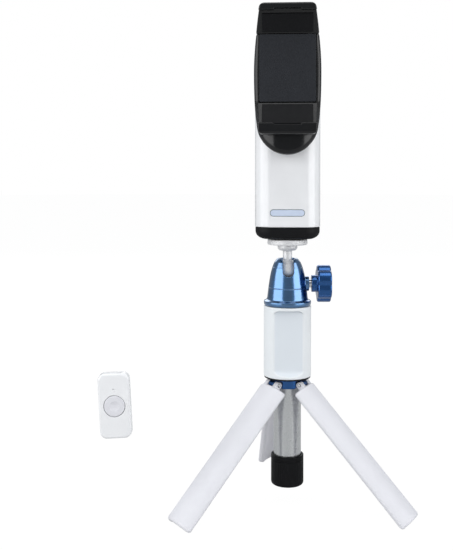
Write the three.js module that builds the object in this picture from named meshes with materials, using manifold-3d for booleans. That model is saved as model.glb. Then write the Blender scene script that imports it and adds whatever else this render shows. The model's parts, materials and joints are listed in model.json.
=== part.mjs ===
// Tripod selfie stick: telescopic pole, folding legs, ball head, powered phone clamp and a remote control.
// Millimetres, +Z up. -Y is the front, towards the phone.
// The origin is the centre of the end cap's underside, on the stick's axis.
import * as THREE from "three";
import { mergeVertices } from "three/addons/utils/BufferGeometryUtils.js";
import Module from "manifold-3d";

const wasm = await Module();
wasm.setup();

// ---- Driving dimensions ----
const GAP = 0.3; // room left between neighbouring pieces
const FLOOR_Z = -12; // the floor that the open legs stand on
const DEG = Math.PI / 180;

// Handle
const GRIP_R = 16; // collar, and the three legs when folded
const TUBE_R = 9.25;
const TUBE_WALL = 0.5;
const TUBE_BOTTOM = 2.3;
const TUBE_TOP = 121.4;
const CAP_R = 11;
const CAP_HEIGHT = 20.6;
const COLLAR_BOTTOM = 73.9;
const COLLAR_TOP = 121.4;
const COLLAR_BORE_R = TUBE_R + GAP;
const RING_BOTTOM = 72.9;
const RING_R = 15.6;
// The dock for the remote, cut into the front of the collar
const DOCK = {
  halfWidth: 10.8,
  bottom: 75.6,
  top: 119.4,
  floorY: -12.3,
  cornerR: 5.3,
  slopeHeight: 2.4,
};

// Legs
const LEG_AZIMUTHS = { rear: 92.4, front_left: 212.4, front_right: 332.4 };
const LEG_SPREAD = 43.6;
const LEG_PIVOT_R = 11.5;
const LEG_PIVOT_Z = 69.2;
const LEG_LENGTH = 109.2;
const LEG_TOP = 2.9; // the shell's top edge, below the pivot
const LEG_HALF_ANGLE = 59;
const LEG_INNER_R = 11.5;
const CHEEK_R = 2.1;
const CHEEK_INNER = 2.8;
const CHEEK_OUTER = 6.8;
const LEG_PIN_R = 0.9;
const PIN_HOLE_REACH = 9; // half length of the cutters for the pin holes
const TONGUE_HALF = 2.5; // half width of the hub's tongue between the cheeks
const TONGUE_R = 2.4;
const HUB_R = 11.6;
const HUB_BOTTOM = 66.7;
const HUB_TOP = 72.6;

// Telescopic sections, from the outermost: outer radius and foot
const SECTIONS = [
  { r: 7.5, bottom: 5 },
  { r: 6.0, bottom: 7 },
  { r: 4.6, bottom: 9 },
  { r: 3.2, bottom: 11 },
];
const SECTION_WALL = 0.4;
const BUSH_LENGTH = 8;
const GUIDE_LENGTH = 8;

// Ball head, from its underside at the top of the collar
const HEAD_Z = 121.8;
const BALL_Z = 23.4;
const BALL_R = 7.5;
const SOCKET_R = BALL_R + GAP;
const BALL_ROOM_R = BALL_R + 2 * GAP; // hollow round the ball, with room for the flats of both
const MOUTH_R = 5.5;
const STEM_R = 3.1;
const STEM_TOP = 36.9;
const PLATFORM_R = 6.7;
const PLATFORM_TOP = 40.8;
const WHEEL_R = 13.5;
const WHEEL_TOP = 44.8;
const NOTCH_HALF = STEM_R + 0.5;
const KNOB_Z = 14.3; // height of the clamp knob's axis
const KNOB_R = 12.5;
const KNOB_LOBES = 6;
const KNOB_BORE_R = 3;
const SCREW_R = 2.7;
const STUD_R = 2.5;
const STUD_BORE_R = STUD_R + GAP;

// Stabiliser body, from its underside
const BODY_Z = 167.1;
const BODY_HEADING = -4; // degrees that the body and clamp are turned on the ball head
const BODY_HALF_WIDTH = 21.8;
const BODY_HALF_DEPTH = 17;
const BODY_EDGE_R = 12;
const BODY_WALL = 2;
const BODY_AXIS_Z = 104.9; // clamp roll axis, and centre of the round top
const BOTTOM_CAP_HEIGHT = 7.7;
const WINDOW = { halfWidth: 11.5, height: 4.6, z: 17.5 };
const MOTOR_R = 12;
const MOTOR_HOLE_R = 9.6;
const INSERT_R = 5;
const POWER = { r: 5, z: 40 };
const USB = { halfWidth: 4.5, halfHeight: 1.6, z: 18 };
const SHELL_SCREW = { x: 8, z: 66, headR: 1.5, shankR: 0.8 };

// Phone clamp, from the roll axis, with the front at -Y
const CARRIER_BACK = -18.2;
const CARRIER_FRONT = -28.4;
const CLAMP_HALF_WIDTH = 21.8;
const CARRIER_BOTTOM = -49.2;
const BOWL_HEIGHT = 23;
const LOWER_ROOT = -15.5; // grip edge of the lower jaw
const UPPER_ROOT = 28.7; // grip edge of the upper jaw
const UPPER_TOP = 46.4;
const LOWER_BOTTOM = -36.8;
const UPPER_LIP = 5.2; // height of each jaw's lip
const LOWER_LIP = 7.6;
const JAW_FRONT = -44;
const JAW_BACK = CARRIER_FRONT - GAP;
const JAW_PAD_HALF_WIDTH = 16.5;
const PAD_HALF_WIDTH = 18.3;
const CARRIER_TOP = UPPER_ROOT - GAP;
const TRACK = { halfWidth: 13.2, front: -25.2, back: -20.4, bottom: -36 };
const TRACK_Y = (TRACK.front + TRACK.back) / 2;
const RAIL_X = 9;
const RAIL_R = 1.2;
const SPRING_TURNS = 6;
const SPRING_FOOT = -11.3; // where the springs stand on the upper jaw's tongue
const SPRING_TOP = 26.6; // under the heads of the guide rods

// Remote control, about its centre
const REMOTE = { halfWidth: 9.75, halfHeight: 20, halfDepth: 4, cornerR: 4.3 };
const REMOTE_CENTRE = new THREE.Vector3(-110, -56, 68);
const REMOTE_TILT = -3;
const REMOTE_WALL = 1.2;
const REMOTE_SEAM_Y = 0.6; // the seam between the two shells, behind the middle
const REMOTE_BUTTON_R = 6.4;

// ---- Materials ----
function finish(colour, roughness, metalness = 0) {
  return () => new THREE.MeshStandardMaterial({ color: colour, roughness, metalness });
}
const whiteEnamel = finish(0xebf0f4, 0.35);
const whitePlastic = finish(0xe6e6ef, 0.45);
const blueAnodised = finish(0x2a5590, 0.25, 0.9);
const blackGloss = finish(0x1b1c1e, 0.2);
const blackPlastic = finish(0x202222, 0.5);
const greyRubber = finish(0x2c2f34, 0.8);
const tubeMetal = finish(0xa8acad, 0.3, 0.9);
const steel = finish(0xd6d6db, 0.25, 0.95);
const windowPlastic = finish(0xcbd5e6, 0.2);
const boardGreen = finish(0x2f6b45, 0.6);
const cellWrap = finish(0x3b6ea8, 0.4);

// ---- Solids ----
function solid(geometry) {
  const bare = geometry.index ? geometry.toNonIndexed() : geometry.clone();
  bare.deleteAttribute("normal");
  bare.deleteAttribute("uv");
  const merged = mergeVertices(bare, 1e-4);
  return new wasm.Manifold(
    new wasm.Mesh({
      numProp: 3,
      vertProperties: new Float32Array(merged.attributes.position.array),
      triVerts: new Uint32Array(merged.index.array),
    }),
  );
}

function geometryOf(body) {
  const mesh = body.getMesh();
  const geometry = new THREE.BufferGeometry();
  geometry.setAttribute("position", new THREE.BufferAttribute(mesh.vertProperties, 3));
  geometry.setIndex(new THREE.BufferAttribute(mesh.triVerts, 1));
  geometry.computeVertexNormals();
  return geometry;
}

function join(...pieces) {
  return pieces.reduce((whole, piece) => whole.add(piece));
}

function cut(body, ...tools) {
  return tools.reduce((rest, tool) => rest.subtract(tool), body);
}

function common(...pieces) {
  return pieces.reduce((shared, piece) => shared.intersect(piece));
}

// A body of revolution about Z. Profile points are [radius, height], anticlockwise with radius to the right.
function turned(profile, segments = 32) {
  const points = profile.map(([r, z]) => new THREE.Vector2(r, z));
  if (profile[0][0] > 0) points.push(points[0].clone());
  return solid(new THREE.LatheGeometry(points, segments).rotateX(Math.PI / 2));
}

function sleeve(outerR, innerR, bottom, top, segments = 24) {
  return turned([[innerR, bottom], [outerR, bottom], [outerR, top], [innerR, top]], segments);
}

function rod(r, bottom, top, segments = 24) {
  return turned([[0, bottom], [r, bottom], [r, top], [0, top]], segments);
}

function block(x0, x1, y0, y1, z0, z1) {
  const box = new THREE.BoxGeometry(x1 - x0, y1 - y0, z1 - z0);
  return solid(box.translate((x0 + x1) / 2, (y0 + y1) / 2, (z0 + z1) / 2));
}

// Points of an arc from one angle to another, in degrees.
function arc(cx, cy, r, from, to, steps) {
  return Array.from({ length: steps + 1 }, (_, i) => {
    const angle = (from + ((to - from) * i) / steps) * DEG;
    return [cx + r * Math.cos(angle), cy + r * Math.sin(angle)];
  });
}

function outlineShape(points) {
  return new THREE.Shape(points.map(([x, y]) => new THREE.Vector2(x, y)));
}

// An outline in X and Y pushed up along Z. A bevel rounds both end edges and keeps the outline's size.
function prism(points, bottom, top, bevel = 0, bevelSteps = 2) {
  const geometry = new THREE.ExtrudeGeometry(outlineShape(points), {
    depth: top - bottom - 2 * bevel,
    bevelEnabled: bevel > 0,
    bevelSize: bevel,
    bevelThickness: bevel,
    bevelOffset: -bevel,
    bevelSegments: bevelSteps,
  });
  return solid(geometry.translate(0, 0, bottom + bevel));
}

// An outline in X and Z pushed along Y from front (lowest Y) to back.
function slab(points, front, back, bevel = 0, bevelSteps = 2) {
  return prism(points, -back, -front, bevel, bevelSteps).rotate([90, 0, 0]);
}

// An outline in Y and Z pushed along X.
function rail(points, left, right) {
  return prism(points, left, right).rotate([90, 0, 90]);
}

function roundedRectangle(halfX, halfY, r, steps = 4) {
  return [
    ...arc(halfX - r, -halfY + r, r, -90, 0, steps),
    ...arc(halfX - r, halfY - r, r, 0, 90, steps),
    ...arc(-halfX + r, halfY - r, r, 90, 180, steps),
    ...arc(-halfX + r, -halfY + r, r, 180, 270, steps),
  ];
}

function ball(r, z) {
  return solid(new THREE.SphereGeometry(r, 20, 12).rotateX(Math.PI / 2)).translate([0, 0, z]);
}

function alongX(body) {
  return body.rotate([0, 90, 0]);
}

function alongY(body) {
  return body.rotate([-90, 0, 0]);
}

function piece(name, body, material) {
  const mesh = new THREE.Mesh(geometryOf(body), material());
  mesh.name = name;
  return mesh;
}

function group(x = 0, y = 0, z = 0) {
  const made = new THREE.Group();
  made.position.set(x, y, z);
  return made;
}

// ---- Handle: outer tube, end cap, hub, dark ring and collar ----
function outerTube() {
  return sleeve(TUBE_R, TUBE_R - TUBE_WALL, TUBE_BOTTOM, TUBE_TOP, 32);
}

function endCap() {
  const boreR = TUBE_R + GAP;
  return turned(
    [[0, 0], [CAP_R - 2, 0], [CAP_R - 0.6, 0.6], [CAP_R, 2], [CAP_R, CAP_HEIGHT - 0.5],
      [CAP_R - 0.5, CAP_HEIGHT], [boreR, CAP_HEIGHT], [boreR, 2], [0, 2]],
    32,
  );
}

function legPinHole() {
  return alongY(rod(LEG_PIN_R + GAP, -PIN_HOLE_REACH, PIN_HOLE_REACH, 12));
}

// The tongue of one leg's hinge, and the pocket for a cheek beside it, for a leg that points along +X.
function hubTongue() {
  const root = TUBE_R + 1;
  const profile = [
    [root, LEG_PIVOT_Z - TONGUE_R],
    ...arc(LEG_PIVOT_R, LEG_PIVOT_Z, TONGUE_R, -90, 90, 6),
    [root, LEG_PIVOT_Z + TONGUE_R],
  ];
  return slab(profile, -TONGUE_HALF, TONGUE_HALF);
}

function hubPocket() {
  const top = LEG_PIVOT_Z + CHEEK_R + GAP;
  return block(8.9, 20, TONGUE_HALF, CHEEK_OUTER + GAP, HUB_BOTTOM - 1, top);
}

function legHub() {
  const pinHole = legPinHole().translate([LEG_PIVOT_R, 0, LEG_PIVOT_Z]);
  const pockets = hubPocket().add(hubPocket().mirror([0, 1, 0]));
  let hub = sleeve(HUB_R, TUBE_R + GAP, HUB_BOTTOM, HUB_TOP, 36);
  for (const azimuth of Object.values(LEG_AZIMUTHS)) {
    const turn = [0, 0, azimuth];
    hub = cut(hub.add(hubTongue().rotate(turn)), pockets.rotate(turn), pinHole.rotate(turn));
  }
  return hub;
}

function collarRing() {
  return sleeve(RING_R, COLLAR_BORE_R, RING_BOTTOM, COLLAR_BOTTOM - GAP, 36);
}

// The dock for the remote is a flat cut with a round-cornered top end and a sloped bottom end.
function collar() {
  const ring = turned(
    [[COLLAR_BORE_R, COLLAR_BOTTOM], [GRIP_R - 0.4, COLLAR_BOTTOM], [GRIP_R, COLLAR_BOTTOM + 0.4],
      [GRIP_R, COLLAR_TOP - 0.4], [GRIP_R - 0.4, COLLAR_TOP], [COLLAR_BORE_R, COLLAR_TOP]],
    48,
  );
  const { halfWidth, bottom, top, floorY, cornerR, slopeHeight } = DOCK;
  const outline = [
    [-halfWidth, bottom],
    [halfWidth, bottom],
    ...arc(halfWidth - cornerR, top - cornerR, cornerR, 0, 90, 5),
    ...arc(-halfWidth + cornerR, top - cornerR, cornerR, 90, 180, 5),
  ];
  const slope = rail(
    [[-20, bottom], [-15.6, bottom], [floorY, bottom + slopeHeight], [floorY, top + 1], [-20, top + 1]],
    -20,
    20,
  );
  return cut(ring, common(slab(outline, -20, floorY), slope));
}

// ---- Legs: each is a third of the grip's shell, hinged on the hub ----
function legOutline() {
  const corner = 1.6;
  const outerTurn = Math.asin(corner / (GRIP_R - corner)) / DEG;
  const innerTurn = Math.asin(corner / (LEG_INNER_R + corner)) / DEG;
  const half = LEG_HALF_ANGLE;
  const at = (r, angle) => [r * Math.cos(angle * DEG), r * Math.sin(angle * DEG)];
  const outerPlus = at(GRIP_R - corner, half - outerTurn);
  const innerPlus = at(LEG_INNER_R + corner, half - innerTurn);
  const innerMinus = at(LEG_INNER_R + corner, innerTurn - half);
  const outerMinus = at(GRIP_R - corner, outerTurn - half);
  return [
    ...arc(0, 0, GRIP_R, outerTurn - half, half - outerTurn, 8),
    ...arc(...outerPlus, corner, half - outerTurn, half + 90, 2).slice(1),
    ...arc(...innerPlus, corner, half + 90, half + 180 - innerTurn, 2),
    ...arc(0, 0, LEG_INNER_R, half - innerTurn, innerTurn - half, 7).slice(1),
    ...arc(...innerMinus, corner, 180 - half + innerTurn, 270 - half, 2).slice(1),
    ...arc(...outerMinus, corner, 270 - half, 360 - half + outerTurn, 2).slice(0, -1),
  ].map(([x, y]) => [x - LEG_PIVOT_R, y]);
}

// The leg about its own pivot, as it stands when folded: outwards is +X, down the leg is -Z.
function leg() {
  const shell = prism(legOutline(), -LEG_LENGTH, -LEG_TOP, 1.4);
  const cheekProfile = [
    [-CHEEK_R, -7],
    [CHEEK_R, -7],
    ...arc(0, 0, CHEEK_R, 0, 180, 6),
  ];
  const floor = block(-60, 160, -60, 60, -200, FLOOR_Z - LEG_PIVOT_Z).rotate([0, LEG_SPREAD, 0]);
  const body = join(
    shell,
    slab(cheekProfile, CHEEK_INNER, CHEEK_OUTER),
    slab(cheekProfile, -CHEEK_OUTER, -CHEEK_INNER),
  );
  const tongueRoom = slab(arc(0, 0, 3, 0, 330, 11), -CHEEK_INNER, CHEEK_INNER);
  return cut(body, legPinHole(), floor, tongueRoom);
}

function legPin() {
  return alongY(rod(LEG_PIN_R, -CHEEK_OUTER, CHEEK_OUTER, 12));
}

function tripod() {
  const made = group();
  for (const [name, azimuth] of Object.entries(LEG_AZIMUTHS)) {
    const bearing = group();
    bearing.rotation.z = azimuth * DEG;
    const hinge = group(LEG_PIVOT_R, 0, LEG_PIVOT_Z);
    hinge.rotation.y = -LEG_SPREAD * DEG;
    hinge.add(piece("leg_" + name, leg(), whitePlastic), piece("leg_pin_" + name, legPin(), steel));
    bearing.add(hinge);
    made.add(bearing);
  }
  return made;
}

// ---- Telescopic pole: each section has a bush at its foot, and slides in a guide ring above ----
function pole() {
  const made = group();
  let boreR = TUBE_R - TUBE_WALL;
  SECTIONS.forEach(({ r, bottom }, i) => {
    const number = i + 1;
    const tube = sleeve(r, r - SECTION_WALL, bottom, TUBE_TOP, 16);
    const guide = sleeve(boreR - GAP, r + GAP, TUBE_TOP - GUIDE_LENGTH, TUBE_TOP, 16);
    const bush = sleeve(boreR - GAP, r + GAP, bottom, bottom + BUSH_LENGTH, 16);
    made.add(
      piece("section_" + number, tube, tubeMetal),
      piece("section_" + number + "_bush", bush, blackPlastic),
      piece("guide_ring_" + number, guide, blackPlastic),
    );
    boreR = r - SECTION_WALL;
  });
  return made;
}

// ---- Ball head ----
function poleStud() {
  return rod(STUD_R, -10, 8.4, 20);
}

function ballHousing() {
  const outer = turned(
    [[0, 0], [15.5, 0], [16, 0.5], [16, 2.6], [15.3, 3.5], [14.2, 4], [13.8, 4.6], [13.5, 7],
      [12.9, 11.7], [12.2, 16.5], [11.4, 21.2], [10.1, 26], [8.6, 29.2], [6.8, 31.2], [5.6, 31.4], [0, 31.4]],
    32,
  );
  const boss = alongX(rod(5, 8, 14.5, 24)).translate([0, 0, KNOB_Z]);
  const chamber = rod(SOCKET_R, 10.4, BALL_Z, 24);
  const mouth = rod(MOUTH_R, BALL_Z, 40, 24);
  const studBore = rod(STUD_BORE_R, -1, 11, 20);
  const screwBore = alongX(rod(KNOB_BORE_R, 0, 20, 20)).translate([0, 0, KNOB_Z]);
  const notch = slab(
    [...arc(0, BALL_Z, NOTCH_HALF, 180, 360, 8), [NOTCH_HALF, 40], [-NOTCH_HALF, 40]],
    -20,
    0,
  );
  return cut(join(outer, boss), ball(BALL_ROOM_R, BALL_Z), chamber, mouth, studBore, screwBore, notch);
}

// Cup under the ball, lifted by the brake shoe's slope.
function ballSeat() {
  const cup = rod(SOCKET_R - GAP, 15.9, 19.9, 24);
  return cut(cup, ball(BALL_ROOM_R, BALL_Z), rod(2.5, 10, 25, 16));
}

function brakeShoe() {
  return block(-4.6, 6.4, -3.4, 3.4, 10.8, 15.5);
}

function knobOutline() {
  return Array.from({ length: 48 }, (_, i) => {
    const angle = (i * 7.5) * DEG;
    const wave = Math.pow(0.5 + 0.5 * Math.cos(KNOB_LOBES * angle), 0.45);
    const r = KNOB_R - 1.5 + 1.5 * wave;
    return [r * Math.cos(angle), r * Math.sin(angle)];
  });
}

// The knob's hub faces the housing, and its lobed head is outside.
function clampKnob() {
  const head = prism(knobOutline(), 19.9, 29.1, 0.8, 1);
  const hub = rod(5.7, 16.2, 21, 28);
  const bore = rod(KNOB_BORE_R, 16, 25, 20);
  return alongX(cut(join(head, hub), bore)).translate([0, 0, KNOB_Z]);
}

function knobScrew() {
  const screw = join(rod(SCREW_R, 8, 24.6, 20), rod(1.2, 6.7, 9, 12));
  return alongX(screw).translate([0, 0, KNOB_Z]);
}

function ballStem() {
  const neck = turned(
    [[0, BALL_Z], [STEM_R, BALL_Z], [STEM_R, STEM_TOP], [PLATFORM_R - 1.2, STEM_TOP],
      [PLATFORM_R, STEM_TOP + 1.6], [PLATFORM_R, PLATFORM_TOP - GAP], [0, PLATFORM_TOP - GAP]],
    24,
  );
  return cut(join(ball(BALL_R, BALL_Z), neck), rod(STUD_BORE_R, 32, 50, 20));
}

function lockWheel() {
  const wheel = turned(
    [[0, PLATFORM_TOP], [WHEEL_R - 0.5, PLATFORM_TOP], [WHEEL_R, PLATFORM_TOP + 0.5],
      [WHEEL_R, WHEEL_TOP - 0.8], [WHEEL_R - 0.5, WHEEL_TOP - GAP], [0, WHEEL_TOP - GAP]],
    36,
  );
  return cut(wheel, rod(STUD_BORE_R, 30, 60, 20));
}

function topScrew() {
  return rod(STUD_R, 32.6, 56, 20);
}

function ballHead() {
  const made = group(0, 0, HEAD_Z);
  made.add(
    piece("pole_stud", poleStud(), blackPlastic),
    piece("ball_housing", ballHousing(), blueAnodised),
    piece("ball_seat", ballSeat(), blackPlastic),
    piece("brake_shoe", brakeShoe(), blackPlastic),
    piece("clamp_knob", clampKnob(), blueAnodised),
    piece("knob_screw", knobScrew(), steel),
    piece("ball_stem", ballStem(), steel),
    piece("lock_wheel", lockWheel(), steel),
    piece("top_screw", topScrew(), steel),
  );
  return made;
}

// ---- Stabiliser body: a tall rounded slab with an arched top, in a front and a rear shell ----
// The slab is the outline, drawn in by the edge radius, with a ball of that radius run round it.
function roundedBody(shrink) {
  const inset = BODY_HALF_WIDTH - BODY_EDGE_R;
  const edge = BODY_EDGE_R - shrink;
  const outline = [[-inset, -20], [inset, -20], ...arc(0, BODY_AXIS_Z, inset, 0, 180, 10)];
  const geometry = new THREE.ExtrudeGeometry(outlineShape(outline), {
    depth: 2 * (BODY_HALF_DEPTH - BODY_EDGE_R),
    bevelSize: edge,
    bevelThickness: edge,
    bevelSegments: 4,
  });
  return solid(geometry.translate(0, 0, BODY_EDGE_R - BODY_HALF_DEPTH)).rotate([90, 0, 0]);
}

function shellPair() {
  const bottom = BOTTOM_CAP_HEIGHT + GAP;
  const above = block(-50, 50, -50, 50, bottom, 200);
  const hollow = common(roundedBody(BODY_WALL), block(-50, 50, -50, 50, bottom - 1, 200));
  const whole = cut(common(roundedBody(0), above), hollow);
  const windowHole = slab(roundedRectangle(WINDOW.halfWidth, WINDOW.height / 2, 2.2, 3), -30, -10);
  const motorHole = alongY(rod(MOTOR_HOLE_R, -30, -5, 32)).translate([0, 0, BODY_AXIS_Z]);
  const buttonHole = alongY(rod(POWER.r + GAP, 5, 30, 24)).translate([0, 0, POWER.z]);
  const socketOutline = roundedRectangle(USB.halfWidth + GAP, USB.halfHeight + GAP, USB.halfHeight + 0.2, 3);
  const socketHole = slab(socketOutline, 10, 30).translate([0, 0, USB.z]);
  const screwHole = (x) => alongY(rod(SHELL_SCREW.headR + GAP, 5, 30, 16)).translate([x, 0, SHELL_SCREW.z]);
  const front = common(whole, block(-50, 50, -50, -GAP / 2, 0, 200));
  const rear = common(whole, block(-50, 50, GAP / 2, 50, 0, 200));
  return {
    front: cut(front, windowHole.translate([0, 0, WINDOW.z]), motorHole),
    rear: cut(rear, buttonHole, socketHole, screwHole(-SHELL_SCREW.x), screwHole(SHELL_SCREW.x)),
  };
}

function bottomCap() {
  const stack = slab(
    [[-13, 0], [13, 0], ...arc(13, 6, 8.8, -43, 0, 3), [BODY_HALF_WIDTH, BOTTOM_CAP_HEIGHT],
      [-BODY_HALF_WIDTH, BOTTOM_CAP_HEIGHT], ...arc(-13, 6, 8.8, 180, 223, 3)],
    -30,
    30,
  );
  const outline = roundedRectangle(BODY_HALF_WIDTH, BODY_HALF_DEPTH, BODY_EDGE_R, 6);
  const cap = common(prism(outline, 0, BOTTOM_CAP_HEIGHT, 2.4, 2), stack);
  return cut(cap, rod(INSERT_R + GAP, -1, 20, 24));
}

function threadedInsert() {
  return sleeve(INSERT_R, STUD_BORE_R, 0.6, 10, 24);
}

function lightWindow() {
  const outline = roundedRectangle(WINDOW.halfWidth - GAP, WINDOW.height / 2 - GAP, 1.9, 3);
  return slab(outline, -BODY_HALF_DEPTH + 0.1, -BODY_HALF_DEPTH + 2.4).translate([0, 0, WINDOW.z]);
}

function circuitBoard() {
  return block(-14, 14, -12.4, -11.2, 12, 60);
}

function battery() {
  return rod(7, 26, 76, 24).translate([0, 4, 0]);
}

function motorStator() {
  return alongY(sleeve(MOTOR_R, 2.8, -11.4, 2, 28)).translate([0, 0, BODY_AXIS_Z]);
}

function motorRotor() {
  const bell = rod(MOTOR_R, -14.4, -11.8, 28);
  const hub = rod(9, CARRIER_BACK + GAP, -14, 28);
  const shaft = rod(2.4, -14, 4, 16);
  return alongY(join(bell, hub, shaft)).translate([0, 0, BODY_AXIS_Z]);
}

function powerButton() {
  const { r, z } = POWER;
  return alongY(turned([[0, 12], [r, 12], [r, 17.4], [r - 0.6, 18], [0, 18]], 24)).translate([0, 0, z]);
}

function usbSocket() {
  const { halfWidth, halfHeight, z } = USB;
  const wall = 0.4;
  const shell = slab(roundedRectangle(halfWidth, halfHeight, halfHeight - 0.1, 3), 9.5, 16.6);
  const mouthOutline = roundedRectangle(halfWidth - wall, halfHeight - wall, halfHeight - wall - 0.1, 3);
  const tongue = block(-3.2, 3.2, 10, 15.6, -0.35, 0.35);
  return join(cut(shell, slab(mouthOutline, 11, 20)), tongue).translate([0, 0, z]);
}

function shellScrew(x) {
  const { headR, shankR, z } = SHELL_SCREW;
  return alongY(join(rod(headR, 14.6, 16.4, 16), rod(shankR, 4, 15, 12))).translate([x, 0, z]);
}

function stabiliser() {
  const made = group(0, 0, BODY_Z);
  made.rotation.z = BODY_HEADING * DEG;
  const shells = shellPair();
  made.add(
    piece("bottom_cap", bottomCap(), blackPlastic),
    piece("front_shell", shells.front, whiteEnamel),
    piece("rear_shell", shells.rear, whiteEnamel),
    piece("threaded_insert", threadedInsert(), steel),
    piece("light_window", lightWindow(), windowPlastic),
    piece("circuit_board", circuitBoard(), boardGreen),
    piece("battery", battery(), cellWrap),
    piece("motor_stator", motorStator(), steel),
    piece("motor_rotor", motorRotor(), steel),
    piece("power_button", powerButton(), blackPlastic),
    piece("usb_socket", usbSocket(), steel),
    piece("shell_screw_left", shellScrew(-SHELL_SCREW.x), steel),
    piece("shell_screw_right", shellScrew(SHELL_SCREW.x), steel),
  );
  return made;
}

// ---- Phone clamp: a barrel-shaped carrier on the motor, with a fixed lower and a sprung upper jaw ----
// Half the clamp's width at a height from the roll axis: widest near the middle, drawn in to the top.
function barrelHalfWidth(z) {
  const fromWidest = z - 4;
  const taper = fromWidest > 0 ? 0.0024 : 0.0011;
  return CLAMP_HALF_WIDTH - taper * fromWidest * fromWidest;
}

// The barrel from the round bottom to a given top.
function barrelOutline(top) {
  const bowlTop = CARRIER_BOTTOM + BOWL_HEIGHT;
  const halfWidth = barrelHalfWidth(bowlTop);
  const bowl = arc(0, 0, 1, 180, 360, 16).map(([x, z]) => [x * halfWidth, bowlTop + z * BOWL_HEIGHT]);
  const heights = Array.from({ length: 8 }, (_, i) => bowlTop + ((top - bowlTop) * (i + 1)) / 8);
  const right = heights.map((z) => [barrelHalfWidth(z), z]);
  const left = right.map(([x, z]) => [-x, z]).reverse();
  return [...bowl, ...right, ...left];
}

function clampCarrier() {
  const below = block(-40, 40, -60, 10, -70, CARRIER_TOP);
  const body = common(slab(barrelOutline(CARRIER_TOP + 6), CARRIER_FRONT, CARRIER_BACK, 2.6, 3), below);
  const recessX = PAD_HALF_WIDTH + GAP;
  const padRecess = block(-recessX, recessX, -40, CARRIER_FRONT + 1.6, LOWER_ROOT - GAP, 60);
  const track = block(-TRACK.halfWidth, TRACK.halfWidth, TRACK.front, TRACK.back, TRACK.bottom, 60);
  return cut(body, padRecess, track);
}

// A rod down the track, with a head that the spring pushes against.
function guideRod(side) {
  const shank = rod(RAIL_R, TRACK.bottom + GAP, SPRING_TOP + 0.5, 16);
  const head = rod(2.1, SPRING_TOP, SPRING_TOP + 1, 16);
  return join(shank, head).translate([side * RAIL_X, TRACK_Y, 0]);
}

// A jaw's section in Y and Z, for the jaw above the phone: a sloped grip face that ends in a lip.
function jawSection(root, top, lip) {
  return [
    [JAW_BACK, root],
    [-38.6, top - 3.4],
    [-40.4, top - 3.2],
    [-41.6, top - lip],
    [JAW_FRONT + 0.6, top - lip],
    [JAW_FRONT, top - lip + 0.8],
    [JAW_FRONT, top - 1.6],
    [JAW_FRONT + 0.6, top - 0.5],
    [JAW_FRONT + 2, top],
    [JAW_BACK, top],
  ];
}

// The middle of the lip is lower than its two ends, for the jaw above the phone.
function lipNotch(top, lip) {
  return block(-8.6, 8.6, JAW_FRONT - 1, -40.6, top - lip - 1, top - lip + 1.3);
}

// The upper jaw bridges the top of the carrier, and a tongue with two spring pockets runs down the track.
function upperJaw() {
  const bridge = [
    [CARRIER_BACK, UPPER_ROOT],
    [CARRIER_BACK, UPPER_TOP - 3],
    [CARRIER_BACK - 3, UPPER_TOP],
    [JAW_BACK, UPPER_TOP],
    [JAW_BACK, UPPER_ROOT],
  ];
  const wide = join(rail(jawSection(UPPER_ROOT, UPPER_TOP, UPPER_LIP), -30, 30), rail(bridge, -30, 30));
  const corner = 3;
  const shoulder = UPPER_TOP - corner;
  const half = barrelHalfWidth(shoulder);
  const side = Array.from({ length: 5 }, (_, i) => UPPER_ROOT - 1 + ((shoulder - UPPER_ROOT + 1) * i) / 5);
  const right = side.map((z) => [barrelHalfWidth(z), z]);
  const front = [
    ...right,
    ...arc(half - corner, shoulder, corner, 0, 90, 4),
    ...arc(-half + corner, shoulder, corner, 90, 180, 4),
    ...right.map(([x, z]) => [-x, z]).reverse(),
  ];
  const head = common(wide, slab(front, -60, 10));
  const tongueX = TRACK.halfWidth - 0.5;
  const tongueBottom = SPRING_FOOT - 4;
  const tongue = block(-tongueX, tongueX, TRACK.front + 0.5, TRACK.back - 0.5, tongueBottom, UPPER_ROOT + 4);
  const pocket = block(-3, 9, TRACK.front - 1, TRACK.back + 1, SPRING_FOOT, UPPER_ROOT - 0.4);
  const rodBore = rod(RAIL_R + GAP, tongueBottom - 1, SPRING_FOOT + 1, 16);
  const rodRoom = rodBore.translate([0, TRACK_Y, 0]).add(pocket).translate([RAIL_X, 0, 0]);
  return cut(join(head, tongue), rodRoom, rodRoom.mirror([1, 0, 0]), lipNotch(UPPER_TOP, UPPER_LIP));
}

function lowerJaw() {
  const section = rail(jawSection(-LOWER_ROOT, -LOWER_BOTTOM, LOWER_LIP), -30, 30);
  const wide = cut(section, lipNotch(-LOWER_BOTTOM, LOWER_LIP)).mirror([0, 0, 1]);
  const corner = 3.4;
  const halfWidth = 18.6;
  const front = [
    ...arc(-halfWidth + corner, LOWER_BOTTOM + corner, corner, 180, 270, 4),
    ...arc(halfWidth - corner, LOWER_BOTTOM + corner, corner, 270, 360, 4),
    [halfWidth + 1, LOWER_ROOT + 1],
    [-halfWidth - 1, LOWER_ROOT + 1],
  ];
  return common(wide, slab(front, -60, 10));
}

// Rubber lining on a jaw's sloped face, for the jaw above the phone.
function jawPad(root, top) {
  const rise = (top - root - 3.4) / (-38.6 - CARRIER_FRONT);
  const slopeAt = (y) => root + (y - CARRIER_FRONT) * rise;
  const [near, far] = [CARRIER_FRONT - 1.4, -37.2];
  const [gap, thick] = [0.5, 1.5];
  const section = [
    [near, slopeAt(near) - gap],
    [near, slopeAt(near) - thick],
    [far, slopeAt(far) - thick],
    [far, slopeAt(far) - gap],
  ];
  return rail(section, -JAW_PAD_HALF_WIDTH, JAW_PAD_HALF_WIDTH);
}

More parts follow.
